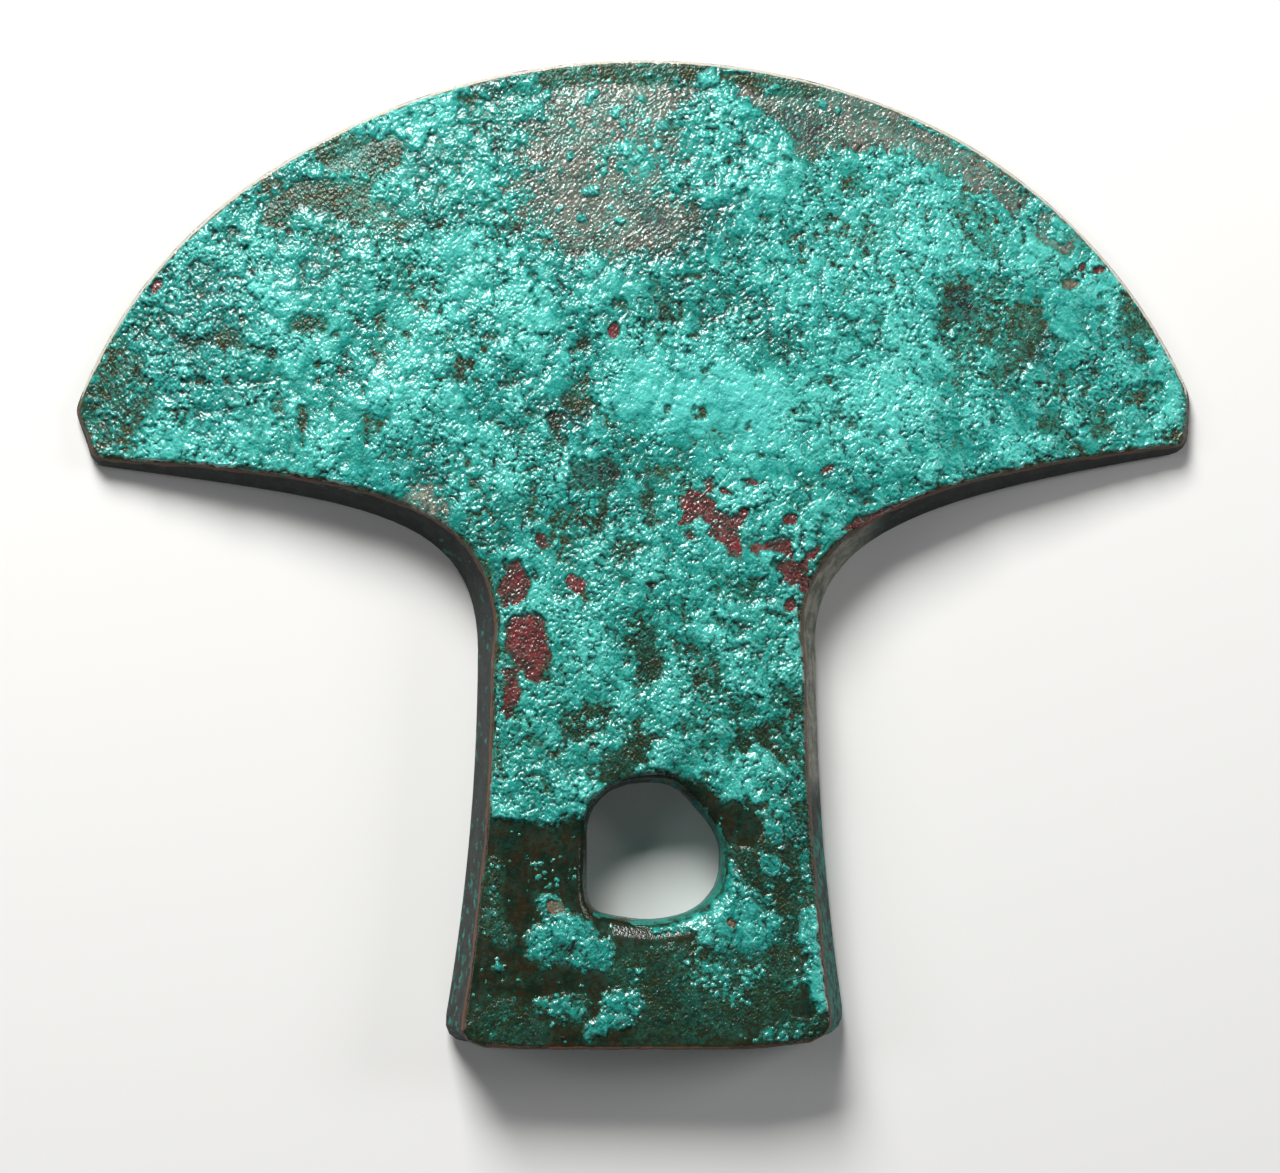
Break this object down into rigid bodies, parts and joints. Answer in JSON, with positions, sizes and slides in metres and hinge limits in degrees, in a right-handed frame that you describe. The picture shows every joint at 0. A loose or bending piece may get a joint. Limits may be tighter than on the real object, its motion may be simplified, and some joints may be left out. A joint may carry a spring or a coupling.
{
  "type": "copper axe head",
  "caption": "Crescent-bladed copper axe head, cast in one piece, with a flat back, a tang that widens to the butt and a dished lashing hole.",
  "frame": {"origin": "middle of the plan, on the flat back that the head lies on", "axes": "+Y towards the cutting edge, -Y towards the butt, +Z out of the convex front face, +X to the right seen from the front"},
  "size_m": [0.1488, 0.1316, 0.0114],
  "materials": {
    "corroded_copper": "thick green corrosion crust over dark brown metal"
  },
  "bodies": {
    "root": {"axe_head": "corroded_copper"}
  },
  "joints": []
}
